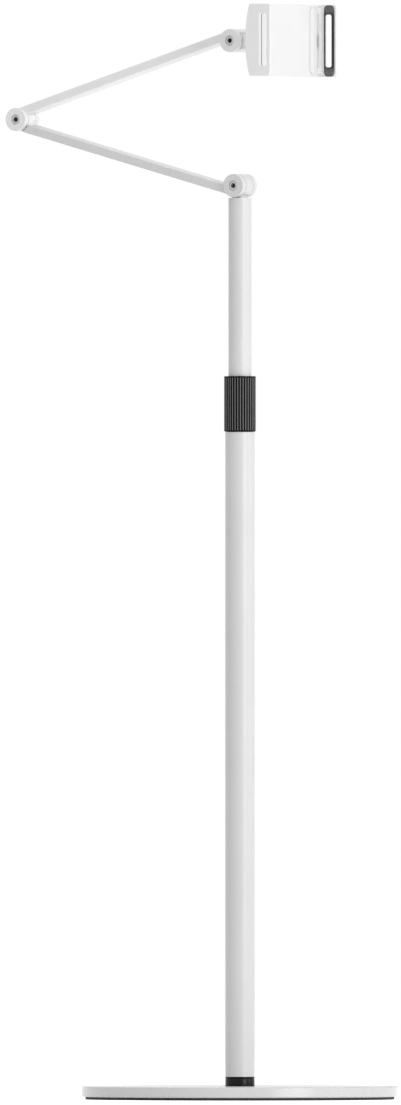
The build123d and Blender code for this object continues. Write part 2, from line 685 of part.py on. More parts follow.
screw_cone = (PLATE_SCREW_HEAD - PLATE_SCREW_DIAMETER) / 2
with BuildPart() as plate_screws:
    with BuildSketch(plate_face):
        with Locations(*screw_places):
            Circle(PLATE_SCREW_DIAMETER / 2)
    extrude(amount=-PLATE_THICKNESS - PLATE_SCREW_REACH)
    with Locations(plate_face.offset(-screw_cone)):
        with Locations(*screw_places):
            Cone(
                PLATE_SCREW_DIAMETER / 2,
                PLATE_SCREW_HEAD / 2,
                screw_cone,
                align=(Align.CENTER, Align.CENTER, Align.MIN),
            )
save(plate_screws, "plate_screws")

# Jaws, pads and springs, one set a side

tooth_pitch = pi * GEAR_MODULE
flank = tan(radians(PRESSURE_ANGLE))
rack_half = tooth_pitch / 4 - BACKLASH
rack_tip = gear_radius - RACK_ADDENDUM * GEAR_MODULE
rack_root = gear_radius + RACK_DEDENDUM * GEAR_MODULE
rail_end = jaw_inner - RAIL_END_GAP
rack_count = 2 * int((rail_end - tooth_pitch) / tooth_pitch) + 1
jaw_slot_middle = HOLDER_DEPTH - JAW_SLOT_FRONT - JAW_SLOT_WIDTH / 2
tab_back = COVER_DEPTH + PLATE_THICKNESS + FACE
spring_start = post_y + POST_DIAMETER / 2 + FREE
spring_end = jaw_inner - HOOK_LENGTH - FREE
spring_length = spring_end - spring_start - SPRING_WIRE

for name, side in sides.items():
    with BuildPart() as jaw:
        with BuildSketch(side.offset(jaw_inner)) as outline:
            with BuildLine():
                ThreePointArc((ARCH_RISE, -half_height), (0, 0), (ARCH_RISE, half_height))
                Polyline(
                    (ARCH_RISE, half_height),
                    (HOLDER_DEPTH, half_height),
                    (HOLDER_DEPTH, -half_height),
                    (ARCH_RISE, -half_height),
                )
            make_face()
            fillet(outline.vertices().group_by(Axis.X)[-1], JAW_CORNER)
            with Locations((jaw_slot_middle, 0)):
                RectangleRounded(JAW_SLOT_WIDTH, JAW_SLOT_HEIGHT, JAW_SLOT_CORNER, mode=Mode.SUBTRACT)
        extrude(amount=JAW_WALL)
        outer = jaw.faces().filter_by(Axis.Y).sort_by(SortBy.DISTANCE)[-1]
        chamfer(outer.inner_wires()[0].edges(), JAW_SLOT_BEVEL)
        outer = jaw.faces().filter_by(Axis.Y).sort_by(SortBy.DISTANCE)[-1]
        fillet(outer.outer_wire().edges(), JAW_EDGE_ROUND)
        with BuildSketch(across(side, tab_back)):
            with Locations((-jaw_inner + TAB_LENGTH / 2 - JAW_WALL / 2, 0)):
                RectangleRounded(TAB_LENGTH + JAW_WALL, TAB_HEIGHT, TAB_CORNER)
            with Locations((-jaw_inner + TAB_SLOT_ROOT + TAB_SLOT_WIDTH / 2, 0)):
                RectangleRounded(TAB_SLOT_WIDTH, TAB_SLOT_HEIGHT, TAB_SLOT_CORNER, mode=Mode.SUBTRACT)
        extrude(amount=TAB_THICKNESS)
        tab_face = across(side, tab_back + TAB_THICKNESS)
        tab_end = TAB_LENGTH - jaw_inner
        with BuildSketch(Plane(origin=tab_face.origin, x_dir=tab_face.x_dir, z_dir=tab_face.y_dir)):
            Polygon(
                (tab_end - TAB_RAMP_LENGTH, 0),
                (tab_end, 0),
                (tab_end, TAB_RAMP_DROP),
                align=None,
            )
        extrude(amount=TAB_HEIGHT / 2, both=True, mode=Mode.SUBTRACT)
        with BuildSketch(across(side, rail_back)):
            with Locations((-jaw_inner - FIT, RAIL_TOP)):
                Rectangle(jaw_inner + FIT + rail_end, RAIL_TOP - rack_root, align=(Align.MIN, Align.MAX))
            with GridLocations(tooth_pitch, 0, rack_count, 1):
                Polygon(
                    (-rack_half - (rack_root - gear_radius) * flank, rack_root),
                    (rack_half + (rack_root - gear_radius) * flank, rack_root),
                    (rack_half - (gear_radius - rack_tip) * flank, rack_tip),
                    (-rack_half + (gear_radius - rack_tip) * flank, rack_tip),
                    align=None,
                )
        extrude(amount=RAIL_THICKNESS)
        with BuildSketch(side.offset(jaw_inner)):
            with Locations((spring_depth, 0)):
                Rectangle(SPRING_DIAMETER, HOOK_HEIGHT)
        extrude(amount=-HOOK_LENGTH)
    save(jaw, f"jaw_{name}")

    with BuildPart() as pad:
        with BuildSketch(side.offset(jaw_inner)):
            with Locations((HOLDER_DEPTH - PAD_RING_BACK - PAD_RING_WIDTH / 2, 0)):
                RectangleRounded(PAD_RING_WIDTH, PAD_RING_HEIGHT, PAD_RING_CORNER)
            with Locations((jaw_slot_middle, 0)):
                RectangleRounded(JAW_SLOT_WIDTH, JAW_SLOT_HEIGHT, JAW_SLOT_CORNER, mode=Mode.SUBTRACT)
        extrude(amount=-PAD_RING_THICKNESS)
    save(pad, f"pad_{name}")

    coil_start = side.from_local_coords((spring_depth, 0, spring_start + SPRING_WIRE / 2))
    with BuildPart() as spring:
        with BuildLine() as coil:
            Helix(
                pitch=spring_length / SPRING_TURNS,
                height=spring_length,
                radius=(SPRING_DIAMETER - SPRING_WIRE) / 2,
                center=coil_start,
                direction=side.z_dir,
            )
        with BuildSketch(Plane(origin=coil.line @ 0, z_dir=coil.line % 0)):
            Circle(SPRING_WIRE / 2)
        sweep(path=coil.line, is_frenet=True)
    save(spring, f"spring_{name}")

# Pinion between the two racks, with a gap facing each rack's middle tooth

base_radius = gear_radius * cos(radians(PRESSURE_ANGLE))
root_radius = gear_radius - PINION_DEDENDUM * GEAR_MODULE
tip_radius = gear_radius + PINION_ADDENDUM * GEAR_MODULE
tooth_half = (tooth_pitch / 4 - BACKLASH) / gear_radius


def roll(radius):
    """The angle of an involute at a radius, from its start on the base circle."""
    turn = sqrt(max(radius**2 / base_radius**2 - 1, 0))
    return turn - atan(turn)


def flank_point(radius, hand):
    """A point on one flank of the tooth that lies along the sketch's X."""
    angle = hand * (tooth_half + roll(gear_radius) - roll(radius))
    return (radius * cos(angle), radius * sin(angle))


flank_radii = [root_radius - FREE, base_radius, gear_radius, tip_radius]
tooth = [flank_point(r, -1) for r in flank_radii] + [flank_point(r, 1) for r in reversed(flank_radii)]
with BuildPart() as sync_pinion:
    with BuildSketch(across(near_side, rail_back)):
        Circle(root_radius)
        with PolarLocations(0, GEAR_TEETH, start_angle=180 / GEAR_TEETH):
            Polygon(*tooth, align=None)
        Circle(AXLE_DIAMETER / 2 + RUN, mode=Mode.SUBTRACT)
    extrude(amount=RAIL_THICKNESS)
save(sync_pinion, "sync_pinion")
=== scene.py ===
# %% [markdown]
# # A floor stand for a tablet
#
# The stand is a heavy round base, a two-stage column with a twist lock, a folding arm and a sprung
# clamp. Every rigid piece was drawn in CAD and arrives here as a mesh that already sits in its place.
# Blender adds what drawings leave out: the paint, the moulded plastic, the rubber, the bare metal, and
# new meshes for the pieces whose feel depends on soft edges. Blender's startup cube, lamp and camera go
# first, because a cube left behind would count as part of the stand.

# %% Load the frame
import json
from math import cos, degrees, pi, radians, sin

import bmesh
import bpy
from mathutils import Matrix, Vector

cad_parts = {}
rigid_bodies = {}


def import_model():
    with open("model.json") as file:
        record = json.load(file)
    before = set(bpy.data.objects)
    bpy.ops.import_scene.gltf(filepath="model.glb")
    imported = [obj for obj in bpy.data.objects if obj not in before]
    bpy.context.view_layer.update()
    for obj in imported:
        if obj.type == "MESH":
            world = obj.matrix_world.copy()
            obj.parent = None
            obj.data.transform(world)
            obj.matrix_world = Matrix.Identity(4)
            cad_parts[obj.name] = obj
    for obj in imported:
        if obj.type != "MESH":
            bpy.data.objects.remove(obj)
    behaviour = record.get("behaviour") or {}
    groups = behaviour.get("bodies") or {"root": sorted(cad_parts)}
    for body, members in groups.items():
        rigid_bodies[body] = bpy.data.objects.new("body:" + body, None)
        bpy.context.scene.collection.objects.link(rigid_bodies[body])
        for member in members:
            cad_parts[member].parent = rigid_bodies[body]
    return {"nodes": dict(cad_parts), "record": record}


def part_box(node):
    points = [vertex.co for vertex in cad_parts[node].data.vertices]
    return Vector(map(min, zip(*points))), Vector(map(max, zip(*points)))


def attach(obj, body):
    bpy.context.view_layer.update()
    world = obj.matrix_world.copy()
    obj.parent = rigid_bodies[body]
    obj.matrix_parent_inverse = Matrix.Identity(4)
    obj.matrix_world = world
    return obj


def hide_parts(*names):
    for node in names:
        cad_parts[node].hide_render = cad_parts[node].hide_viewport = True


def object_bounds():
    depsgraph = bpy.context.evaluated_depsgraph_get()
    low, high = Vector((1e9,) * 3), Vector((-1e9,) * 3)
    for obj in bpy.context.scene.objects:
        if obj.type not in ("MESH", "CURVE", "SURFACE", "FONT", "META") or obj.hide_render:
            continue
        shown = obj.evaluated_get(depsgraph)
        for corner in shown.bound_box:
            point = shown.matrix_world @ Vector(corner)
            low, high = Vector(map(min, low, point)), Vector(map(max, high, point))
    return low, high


for startup in list(bpy.data.objects):
    bpy.data.objects.remove(startup)
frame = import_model()
cad_low, cad_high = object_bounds()
print("CAD nodes:", len(frame["nodes"]), "height:", round(cad_high.z, 4), "m")

# %% [markdown]
# ## Writing shaders as sums
#
# A finish is a small program made of nodes, and wiring each node by hand hides the idea. The class below
# wraps one output socket. Plus, minus and times each add a Math node, also when a plain number comes
# first, so `1 - mask` works. Every other node comes from the one method `node`, which sets the node's
# own settings before it fills or links the sockets.


# %% A socket that can be added and multiplied
class Value:
    """One output socket of a material's node tree."""

    def __init__(self, tree, socket=None):
        self.tree = tree
        self.socket = socket

    def node(self, kind, settings=None, inputs=None, output=0):
        """Adds a node and returns one of its outputs."""
        made = self.tree.nodes.new(kind)
        for name, setting in (settings or {}).items():
            setattr(made, name, setting)
        for name, value in (inputs or {}).items():
            if isinstance(value, Value):
                self.tree.links.new(value.socket, made.inputs[name])
            else:
                made.inputs[name].default_value = value
        return Value(self.tree, made.outputs[output])

    def math(self, operation, first, second=0.0):
        """Adds a Math node; an operation on one number leaves the second alone."""
        return self.node("ShaderNodeMath", {"operation": operation}, {0: first, 1: second})

    def __add__(self, other):
        return self.math("ADD", self, other)

    def __radd__(self, other):
        return self.math("ADD", other, self)

    def __sub__(self, other):
        return self.math("SUBTRACT", self, other)

    def __rsub__(self, other):
        return self.math("SUBTRACT", other, self)

    def __mul__(self, other):
        return self.math("MULTIPLY", self, other)

    def __rmul__(self, other):
        return self.math("MULTIPLY", other, self)

    def feed(self, shader, name):
        """Links this value to an input of a shader."""
        self.tree.links.new(self.socket, shader.inputs[name])


print("Value wraps sockets")

# %% [markdown]
# ## Patterns that the finishes share
#
# Paint, plastic and rubber all vary in the same few ways: a slow drift of tone, a fine grain, and a band
# where something rubs. Painted images could show that, but noise nodes stay sharp at any distance and need
# no unwrapping. All of them read Object coordinates, in metres, so a scale of 1000 is a grain of about one
# millimetre. The coordinates can also be measured from a hinge and stretched, which turns the same noise
# into turned rings or long draw marks.

# %% A new finish and its coordinates
CLEAR = 0.0
FULL = 1.0
ORIGIN = (0, 0, 0)
UNSTRETCHED = (1, 1, 1)


def new_finish(name, **constants):
    """A material, its shader and its object coordinates; the constants are set on the shader."""
    material = bpy.data.materials.new(name)
    material.use_nodes = True
    shader = material.node_tree.nodes["Principled BSDF"]
    for socket, value in constants.items():
        shader.inputs[socket.replace("_", " ")].default_value = value
    place = Value(material.node_tree).node("ShaderNodeTexCoord", output="Object")
    return material, shader, place


def moved(place, centre=ORIGIN, stretch=UNSTRETCHED):
    """The coordinates measured from a centre and then stretched."""
    offset = [-c * s for c, s in zip(centre, stretch)]
    inputs = {"Vector": place, "Location": offset, "Scale": stretch}
    return place.node("ShaderNodeMapping", None, inputs)


def along(place, axis):
    """One coordinate on its own."""
    return place.node("ShaderNodeSeparateXYZ", None, {0: place}, output=axis)


def axis_distance(place, centre, axis):
    """The distance from a line through the centre along X, Y or Z."""
    flat = [0 if letter == axis else 1 for letter in "XYZ"]
    across = moved(place, centre, flat)
    return place.node("ShaderNodeVectorMath", {"operation": "LENGTH"}, {0: across}, output="Value")


print("coordinates start at", ORIGIN)

# %% Noise, masks, colours and bumps
CLOUD_RANGE = (0.35, 0.7)


def noise(place, scale, detail=2.0, rough=0.5):
    """Cloudy noise from 0 to 1."""
    inputs = {"Vector": place, "Scale": scale, "Detail": detail, "Roughness": rough}
    return place.node("ShaderNodeTexNoise", None, inputs)


def step(value, low, high):
    """Rises smoothly from 0 at low to 1 at high."""
    inputs = {"Value": value, "From Min": low, "From Max": high, "To Min": CLEAR, "To Max": FULL}
    return value.node("ShaderNodeMapRange", {"interpolation_type": "SMOOTHSTEP"}, inputs)


def blend(mask, under, over):
    """One colour over another where the mask is 1."""
    return mask.node("ShaderNodeMix", {"data_type": "RGBA"}, {0: mask, 6: under, 7: over}, output=2)


def grey(level):
    """A neutral colour."""
    return (level, level, level, FULL)


def relief(height, depth):
    """A normal bent by a height field of that depth in metres."""
    inputs = {"Strength": FULL, "Distance": depth, "Height": height}
    return height.node("ShaderNodeBump", None, inputs, output="Normal")


print("noise turns from one tone to the other between", CLOUD_RANGE)

# %% [markdown]
# ## Powder coat
#
# The base and the tubes are steel, and the arm is cast alloy. All wear a white powder coat, which melts in
# an oven and sets with a faint orange peel. A mirror-smooth paint would show the room, so the coat is satin,
# and only the base is glossier. The peel is a bump about ten micrometres deep in two sizes. A slow drift in
# tone and gloss stops long plain tubes from looking like computer drawings. Two masks can be passed in: one
# where the coat is rubbed, and one where painted light makes the coat whiter in a place the lamps leave in
# shade.

# %% The coat
COAT_WHITE = 0.69
COAT_DRIFT = 0.97
COAT_ROUGHNESS = 0.20
COAT_SHINE = 0.5
PAINTED_LIGHT_WHITE = 0.90
SCUFF_WHITE = 0.58
SCUFF_ROUGHNESS = 0.22
DRIFT_ROUGHNESS = 0.10
FINE_ROUGHNESS = 0.08
PEEL_SHARE = 0.7
PEEL_DEPTH = 0.000012


def powder_coat(
    name, wear=None, white=COAT_WHITE, roughness=COAT_ROUGHNESS, shine=COAT_SHINE, painted_light=None
):
    """White powder coat; wear is a mask of rubbed places, and the other mask is painted light that makes the
    coat whiter.
    """
    material, shader, place = new_finish(name, Specular_IOR_Level=shine)
    drift = noise(place, scale=11, detail=3)
    peel = noise(place, scale=850, detail=1)
    fine = noise(place, scale=3200, detail=2)
    colour = blend(step(drift, *CLOUD_RANGE), grey(white), grey(white * COAT_DRIFT))
    rough = roughness + DRIFT_ROUGHNESS * drift + FINE_ROUGHNESS * fine
    # Painted light: a whiter colour where the mask is 1, standing in for light the lamps don't bring there.
    if painted_light:
        colour = blend(painted_light(place), colour, grey(PAINTED_LIGHT_WHITE))
    if wear:
        patches = noise(place, scale=240, detail=4, rough=0.65)
        rubbed = wear(place) * step(patches, low=0.48, high=0.62)
        colour = blend(rubbed, colour, grey(SCUFF_WHITE))
        rough = rough + SCUFF_ROUGHNESS * rubbed
    colour.feed(shader, "Base Color")
    rough.feed(shader, "Roughness")
    height = PEEL_SHARE * peel + (1 - PEEL_SHARE) * fine
    relief(height, PEEL_DEPTH).feed(shader, "Normal")
    return material


lower_tube_coat = powder_coat("lower_tube_powder_coat")
print("plain coat:", lower_tube_coat.name)

# %% [markdown]
# ## Where the base and the column wear
#
# Feet knock the base along the upper edge of its rim, and the twist lock draws faint upright lines on the
# inner tube. Each place is a mask worked out from the pieces' own sizes, so it stays on the edge it belongs
# to. A painted mask would need a new painting for each change of size.

# %% Base and tube finishes
BASE_WHITE = 0.66
BASE_ROUGHNESS = 0.12
BASE_SHINE = 1.0
SCUFF_WEIGHT = 0.3
SCUFF_BAND = 0.0012
SCUFF_FULL_SIDE = 0.0004
SCUFF_FULL_TOP = 0.0003
MARK_WEIGHT = 0.12
MARK_REACH = 0.14
MARK_STRETCH = (1, 1, 0.03)
base_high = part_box("base_plate")[1]
collar_low, collar_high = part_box("lock_collar")


def rim_scuffs(place):
    """Shoes touch the base along the upper edge of its rim."""
    radius = axis_distance(place, ORIGIN, "Z")
    outer = step(radius, base_high.x - SCUFF_BAND, base_high.x - SCUFF_FULL_SIDE)
    upper = step(along(place, "Z"), base_high.z - SCUFF_BAND, base_high.z - SCUFF_FULL_TOP)
    return SCUFF_WEIGHT * outer * upper


def slide_marks(place):
    """The twist lock rubs faint upright lines on the inner tube, just above the collar."""
    lines = noise(moved(place, stretch=MARK_STRETCH), scale=900, detail=2)
    near_collar = 1 - step(along(place, "Z"), collar_high.z, collar_high.z + MARK_REACH)
    return MARK_WEIGHT * near_collar * step(lines, low=0.5, high=0.75)


base_coat = powder_coat("base_powder_coat", rim_scuffs, BASE_WHITE, BASE_ROUGHNESS, BASE_SHINE)
upper_tube_coat = powder_coat("upper_tube_powder_coat", slide_marks)
print("worn coats:", base_coat.name, upper_tube_coat.name)

# %% [markdown]
# ## Coated arm links
#
# The arm's links and hinge knuckles are cast, then coated. Their hinge discs get touched most, so the coat
# is thinner round the rim of each disc. The knuckle between the elbow's ears lies in their shade and is
# painted whiter, as painted light. Both masks are distances from a hinge's axis, which runs along Y, read
# from the middle of each screw.

# %% Where the arm wears
DISC_RADIUS = 0.011
RUBBED_FROM = (DISC_RADIUS - 0.0009, DISC_RADIUS - 0.0003)
RUBBED_TO = (DISC_RADIUS + 0.0001, DISC_RADIUS + 0.0004)
RUBBED_WEIGHT = 0.25
# Where the painted light on the elbow knuckle fades out.
KNUCKLE_LIGHT_EDGE = (DISC_RADIUS + 0.0008, DISC_RADIUS + 0.0016)
screw_middle = {}
for hinge in ("shoulder", "elbow", "tilt"):
    low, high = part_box(hinge + "_screw")
    screw_middle[hinge] = (low + high) / 2
disc_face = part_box("lower_arm")[1].y
face_edge = (disc_face - 0.0006, disc_face - 0.0002)


def hinge_rims(*hinges):
    """A mask of the outer rims of some hinge discs."""

    def mask(place):
        total = CLEAR
        for hinge in hinges:
            away = axis_distance(place, screw_middle[hinge], "Y")
            total = total + step(away, *RUBBED_FROM) * (1 - step(away, *RUBBED_TO))
        sideways = place.math("ABSOLUTE", along(place, "Y"))
        return RUBBED_WEIGHT * total * step(sideways, *face_edge)

    return mask


def elbow_knuckle_painted_light(place):
    """The knuckle between the elbow's ears lies in their shade, so it is painted whiter as painted light."""
    away = axis_distance(place, screw_middle["elbow"], "Y")
    return 1 - step(away, *KNUCKLE_LIGHT_EDGE)


for hinge, middle in screw_middle.items():
    print(hinge, "hinge at", tuple(round(c, 4) for c in middle))

# %% Arm finishes
ARM_WHITE = 0.90
HEAD_WHITE = 0.72
lower_arm_rims = hinge_rims("shoulder", "elbow")
upper_arm_rims = hinge_rims("elbow", "tilt")
# The lower arm's elbow knuckle gets painted light, a whiter coat where the ears leave it in shade.
lower_arm_coat = powder_coat("lower_arm_coat", lower_arm_rims, HEAD_WHITE, painted_light=elbow_knuckle_painted_light)
upper_arm_coat = powder_coat("upper_arm_coat", upper_arm_rims, ARM_WHITE)
head_coat = powder_coat("column_head_coat", white=HEAD_WHITE)
neck_coat = powder_coat("neck_coat", white=ARM_WHITE)
print("arm coats:", lower_arm_coat.name, upper_arm_coat.name, head_coat.name, neck_coat.name)

# %% [markdown]
# ## White moulded plastic
#
# The holder's shell, front plate and jaws are moulded. The mould was spark eroded, so the plastic has an
# even matt grain, finer than the paint's peel, and it is whiter than the column's coat. Where a jaw slides
# over the plate it polishes lines along the way it travels, which is Y, so that noise is stretched along Y.
# The tabs inside the jaws are painted greyer, as painted shade, and the jaws' front edges are painted a
# little greyer too.

# %% Plastic finishes
PLASTIC_WHITE = 0.79
PLASTIC_DRIFT = 0.98
PLASTIC_SHINE = 0.4
PLASTIC_ROUGHNESS = 0.42
# Grey painted on the jaw tabs as painted shade, and weakly on the jaws' front edges.
TAB_SHADE_AND_EDGE_GREY = 0.74
SPARK_ROUGHNESS = 0.10
TONE_ROUGHNESS = 0.06
SPARK_DEPTH = 0.000010
POLISH = 0.10
POLISH_STRETCH = (1, 0.02, 1)


def white_plastic(name, white=PLASTIC_WHITE, slides=False, shade_and_grey=None):
    """Moulded plastic; slides adds polished lines along Y, and the last mask paints places greyer, partly as
    painted shade.
    """
    material, shader, place = new_finish(name, Specular_IOR_Level=PLASTIC_SHINE)
    drift = noise(place, scale=35, detail=2)
    grain = noise(place, scale=5200, detail=2, rough=0.6)
    colour = blend(step(drift, low=0.3, high=0.7), grey(white), grey(white * PLASTIC_DRIFT))
    rough = PLASTIC_ROUGHNESS + SPARK_ROUGHNESS * grain + TONE_ROUGHNESS * drift
    # Painted shade: the masked places are painted greyer.
    if shade_and_grey:
        colour = blend(shade_and_grey(place), colour, grey(TAB_SHADE_AND_EDGE_GREY))
    if slides:
        lines = noise(moved(place, stretch=POLISH_STRETCH), scale=1400, detail=2)
        rough = rough - POLISH * step(lines, low=0.55, high=0.7)
    colour.feed(shader, "Base Color")
    rough.feed(shader, "Roughness")
    relief(grain, SPARK_DEPTH).feed(shader, "Normal")
    return material


shell_plastic = white_plastic("holder_shell_plastic", white=0.88)
plate_plastic = white_plastic("front_plate_plastic", slides=True)
print("plastics for the shell and the plate")

# %% Jaw finish
JAW_WHITE = 0.90
TAB_INSET = 0.0066
TAB_FADE = 0.0003
EDGE_START = 0.0008
EDGE_FULL = 0.0004
EDGE_WEIGHT = 0.5
tab_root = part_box("pad_far")[1].y - TAB_INSET
jaw_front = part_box("jaw_far")[1].x


def jaw_tab_shade_and_edge_grey(place):
    """Painted shade on the tabs inside the jaws, and a weaker grey painted on the jaws' front edges."""
    sideways = place.math("ABSOLUTE", along(place, "Y"))
    inside = 1 - step(sideways, tab_root - TAB_FADE, tab_root + TAB_FADE)
    edge = step(along(place, "X"), jaw_front - EDGE_START, jaw_front - EDGE_FULL)
    return place.math("MAXIMUM", inside, EDGE_WEIGHT * edge)


jaw_plastic = white_plastic("jaw_plastic", JAW_WHITE, slides=True, shade_and_grey=jaw_tab_shade_and_edge_grey)
print("jaw tabs begin", round(tab_root * 1000, 1), "mm from the middle")

# %% [markdown]
# ## Black plastic
#
# The twist collar is satin nylon, and the band at the column's foot is a glossier moulding. The crowns of the
# collar's ribs are painted paler than the grooves, a painted sheen. Light alone could show the ribs, but they
# are under three millimetres apart, so a mask of the outermost skin paints them paler to make them read from
# across a room. Fine upright streaks keep the painted sheen from looking like flat stripes.

# %% Black plastic
BLACK = 0.002
BLACK_DRIFT = 0.75
# The paler grey painted on the rib crowns as a painted sheen.
CROWN_SHEEN_GREY = 0.17
GRAIN_ROUGHNESS = 0.14
GRAIN_DEPTH = 0.000008


def black_plastic(name, rough, shine, painted_sheen=None):
    """Black moulded plastic; the last mask marks places painted paler, a painted sheen."""
    material, shader, place = new_finish(name, Specular_IOR_Level=shine)
    grain = noise(place, scale=4200, detail=2, rough=0.6)
    drift = noise(place, scale=60, detail=2)
    colour = blend(step(drift, *CLOUD_RANGE), grey(BLACK), grey(BLACK * BLACK_DRIFT))
    # Painted sheen: the masked places are painted paler grey.
    if painted_sheen:
        colour = blend(painted_sheen(place), colour, grey(CROWN_SHEEN_GREY))
    colour.feed(shader, "Base Color")
    (rough + GRAIN_ROUGHNESS * grain).feed(shader, "Roughness")
    relief(grain, GRAIN_DEPTH).feed(shader, "Normal")
    return material


band_black = black_plastic("foot_band_black", rough=0.14, shine=0.20)
print("band finish:", band_black.name)

# %% Painted sheen on the ribs
CROWN_START = 0.0003
CROWN_FULL = 0.0001
PLAIN_END = 0.0011
END_FADE = 0.0005
STREAK_STRETCH = (1, 1, 0.06)
STREAK_LEAST = 0.7
STREAK_WEIGHT = 0.5
collar_radius = collar_high.x
ribs_low = collar_low.z + PLAIN_END
ribs_high = collar_high.z - PLAIN_END


def rib_crown_painted_sheen(place):
    """Painted sheen on the outermost skin of the collar's ribs, without its plain ends."""
    radius = axis_distance(place, ORIGIN, "Z")
    outer = step(radius, collar_radius - CROWN_START, collar_radius - CROWN_FULL)
    height = along(place, "Z")
    above = step(height, ribs_low, ribs_low + END_FADE)
    below = 1 - step(height, ribs_high - END_FADE, ribs_high)
    streaks = noise(moved(place, stretch=STREAK_STRETCH), scale=1500, detail=3)
    return outer * above * below * (STREAK_LEAST + STREAK_WEIGHT * streaks)


collar_black = black_plastic("collar_black_nylon", rough=0.36, shine=0.08, painted_sheen=rib_crown_painted_sheen)
print("collar outer radius", round(collar_radius * 1000, 2), "mm")

# %% [markdown]
# ## Silicone and rubber
#
# The rings on the jaws are silicone, duller than the plastic, and they are paler towards both ends, in
# speckles. The mat under the base is the dullest, with a coarser skin. Both gather dust. A Voronoi texture
# makes the skin, because its round cells look like the pebbling of a real mould, which noise doesn't.

# %% Rubber
DULL_SHINE = 0.35
DUST_GREY = 0.32
DUST_ROUGHNESS = 0.12
SMEAR_ROUGHNESS = 0.08
END_PALE_GREY = 0.15


def dull_black(name, level, rough, pebble_scale, pebble_depth, dust, paler=None):
    """Pebbled, dusty silicone or rubber; the last mask marks places painted paler."""
    material, shader, place = new_finish(name, Specular_IOR_Level=DULL_SHINE)
    pebble = place.node("ShaderNodeTexVoronoi", None, {"Vector": place, "Scale": pebble_scale})
    specks = step(noise(place, scale=1900, detail=4, rough=0.7), low=0.60, high=0.74)
    smears = noise(place, scale=90)
    colour = grey(level)
    if paler:
        colour = blend(paler(place), colour, grey(END_PALE_GREY))
    colour = blend(dust * specks, colour, grey(DUST_GREY))
    colour.feed(shader, "Base Color")
    (rough + DUST_ROUGHNESS * specks + SMEAR_ROUGHNESS * smears).feed(shader, "Roughness")
    relief(pebble, pebble_depth).feed(shader, "Normal")
    return material


mat_rubber = dull_black(
    "mat_rubber", level=0.035, rough=0.68, pebble_scale=900, pebble_depth=0.00009, dust=0.16
)
print("mat finish:", mat_rubber.name)

# %% Silicone that is paler at the ends
END_PALE_FROM = 0.024
END_PALE_TO = 0.029
END_PALE_LEAST = 0.4
ring_low, ring_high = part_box("pad_far")
ring_middle = (ring_low.z + ring_high.z) / 2


def ring_ends(place):
    """A jaw ring is painted paler towards its ends, in speckles."""
    from_middle = place.math("ABSOLUTE", along(place, "Z") - ring_middle)
    speckle = step(noise(place, scale=850, detail=2, rough=0.6), low=0.34, high=0.62)
    return step(from_middle, END_PALE_FROM, END_PALE_TO) * (END_PALE_LEAST + (1 - END_PALE_LEAST) * speckle)


jaw_silicone = dull_black(
    "jaw_silicone", level=0.022, rough=0.46, pebble_scale=2600, pebble_depth=0.00002, dust=0.10,
    paler=ring_ends,
)
print("jaw rings are", round((ring_high.z - ring_low.z) * 1000, 1), "mm high")

# %% [markdown]
# ## Bare metal and nylon
#
# Screws, nuts, the swivel stud and the springs are plated steel, turned on a lathe, so fine rings circle
# each screw's axis. A sine of the distance from that axis draws them. The hex socket of each hinge screw is
# painted near black, as painted shade in the recess. The washers and guides are natural nylon, which is
# faintly translucent and warm beside the paint, and the hinge bushes are brass.

# %% Turned metal
STEEL = (0.52, 0.52, 0.53, 1.0)
STEEL_SHADE = (0.40, 0.40, 0.41, 1.0)
# Near black painted in the hex sockets as painted shade.
SOCKET_PAINTED_SHADE = (0.035, 0.035, 0.036, 1.0)
METAL_ROUGHNESS = 0.30
CLOUD_ROUGHNESS = 0.16
SOCKET_SHADE_ROUGHNESS = 0.3
SOCKET_RADIUS = 0.00235
SOCKET_FADE = 0.0003
RINGS_PER_METRE = 2600
RING_WEIGHT = 0.5
TURNED_DEPTH = 0.000004


def bare_metal(name, bright, shade, centre=ORIGIN, axis="Z", socket=False):
    """Turned metal with rings round a line; a socket is painted near black, as painted shade in its recess.
    """
    material, shader, place = new_finish(name, Metallic=FULL)
    away = axis_distance(place, centre, axis)
    rings = place.math("SINE", RINGS_PER_METRE * 2 * pi * away)
    cloud = noise(place, scale=420, detail=3)
    colour = blend(step(cloud, *CLOUD_RANGE), bright, shade)
    rough = METAL_ROUGHNESS + CLOUD_ROUGHNESS * cloud
    # Painted shade: everything within the socket's radius is painted near black and made rougher.
    if socket:
        socket_shade = 1 - step(away, SOCKET_RADIUS - SOCKET_FADE, SOCKET_RADIUS)
        colour = blend(socket_shade, colour, SOCKET_PAINTED_SHADE)
        rough = rough + SOCKET_SHADE_ROUGHNESS * socket_shade
    colour.feed(shader, "Base Color")
    rough.feed(shader, "Roughness")
    relief(RING_WEIGHT * rings + cloud, TURNED_DEPTH).feed(shader, "Normal")
    return material


steel = bare_metal("plated_steel", STEEL, STEEL_SHADE)
print("steel for nuts and springs:", steel.name)

# %% Hinge screws and brass bushes
BRASS = (0.62, 0.46, 0.20, 1.0)
BRASS_SHADE = (0.48, 0.34, 0.14, 1.0)
brass = bare_metal("bush_brass", BRASS, BRASS_SHADE)
screw_steel = {
    hinge: bare_metal(hinge + "_screw_steel", STEEL, STEEL_SHADE, centre, "Y", socket=True)
    for hinge, centre in screw_middle.items()
}
print("screw finishes:", ", ".join(screw_steel))

# %% Nylon
NYLON = (0.74, 0.73, 0.70, 1.0)
NYLON_SHADE = (0.66, 0.65, 0.62, 1.0)
NYLON_ROUGHNESS = 0.38
MILK_ROUGHNESS = 0.15
NYLON_DEPTH = 0.000008

